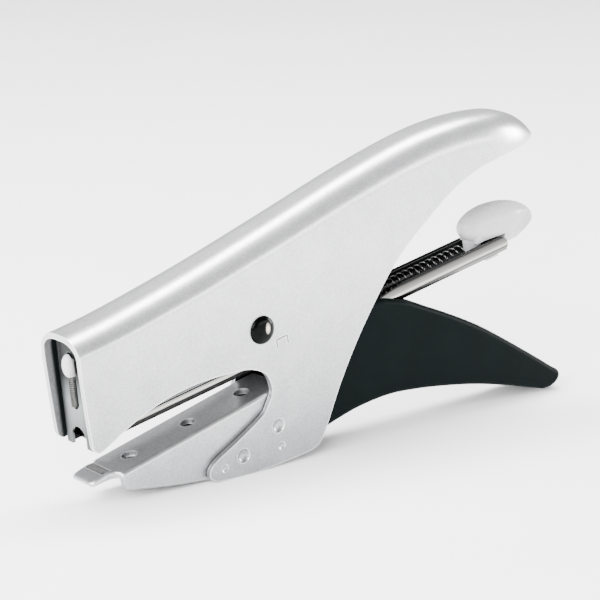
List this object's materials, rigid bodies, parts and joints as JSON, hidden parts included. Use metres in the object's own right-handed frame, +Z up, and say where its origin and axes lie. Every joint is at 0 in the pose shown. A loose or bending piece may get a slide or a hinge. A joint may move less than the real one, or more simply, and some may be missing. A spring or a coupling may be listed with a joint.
{
  "type": "stapling pliers",
  "caption": "Hand-held stapling pliers: painted body with head, short jaw and anvil, hinged squeeze handle, swinging magazine with pull-out follower and sprung driver.",
  "frame": {"origin": "centre of the footprint, on the surface that the pliers stand on", "axes": "+Z up, +Y from the head towards the handles, +X sideways along the main rivet"},
  "size_m": [0.0192, 0.16, 0.0806],
  "materials": {
    "body_paint": "satin silver-white metallic paint",
    "jaw_paint": "satin silver-white metallic paint",
    "handle_plastic": "fine grained dark moulding",
    "nickel_steel": "bright nickel plate",
    "plate_steel": "brushed",
    "bare_steel": "zinc plated",
    "spring_wire": "drawn wire",
    "staple_wire": "galvanised wire",
    "rivet_steel": "polished gunmetal",
    "black_plastic": "black moulding",
    "white_plastic": "soft gloss white moulding"
  },
  "bodies": {
    "frame": {"body_shell": "body_paint", "lower_jaw": "jaw_paint", "anvil_plate": "bare_steel", "pivot_rivet": "rivet_steel", "pivot_bush": "bare_steel", "spring_cup": "black_plastic", "return_spring": "spring_wire"},
    "lever": {"lower_handle": "handle_plastic", "lever_arm_left": "bare_steel", "lever_arm_right": "bare_steel", "handle_pin_front": "bare_steel", "handle_pin_rear": "bare_steel", "drive_pin": "bare_steel", "spring_saddle": "bare_steel"},
    "magazine": {"magazine_channel": "nickel_steel", "magazine_hanger": "bare_steel", "staple_rail": "bare_steel", "staple_stick": "staple_wire", "front_plate": "plate_steel", "driver_spring": "spring_wire"},
    "driver": {"driver_blade": "bare_steel", "driver_head": "bare_steel", "driver_button": "white_plastic"},
    "carrier": {"spring_trough": "black_plastic", "follower_handle": "white_plastic", "latch_nub": "white_plastic", "follower_spring": "spring_wire"},
    "pusher": {"pusher": "bare_steel", "pusher_rod": "bare_steel", "rod_collar": "bare_steel"}
  },
  "joints": [
    {"name": "lever_pivot", "type": "hinge", "parent": "frame", "child": "lever", "pos_m": [0, -0.02555, 0.0369], "axis": [1, 0, 0], "range_deg": [0, 16.3], "stiffness_Nm_per_rad": 0.6, "springref_deg": -20.05, "deforming": ["return_spring"]},
    {"name": "magazine_pivot", "type": "hinge", "parent": "frame", "child": "magazine", "pos_m": [0, -0.02555, 0.0369], "axis": [1, 0, 0], "range_deg": [0, 8]},
    {"name": "driver_slide", "type": "slide", "parent": "magazine", "child": "driver", "axis": [0, 0.1063, -0.9943], "range_m": [0, 0.0068], "deforming": ["driver_spring"]},
    {"name": "loading_pull", "type": "slide", "parent": "magazine", "child": "carrier", "axis": [0, 0.981, 0.1942], "range_m": [0, 0.095]},
    {"name": "pusher_slide", "type": "slide", "parent": "carrier", "child": "pusher", "axis": [0, 0.981, 0.1942], "range_m": [0, 0.015], "stiffness_N_per_m": 60, "springref_m": -0.02, "deforming": ["follower_spring"]}
  ],
  "couplings": [
    {"joint": "magazine_pivot", "follows": "lever_pivot", "ratio": 0.49},
    {"joint": "driver_slide", "follows": "lever_pivot", "m_per_rad": 0.0238}
  ]
}
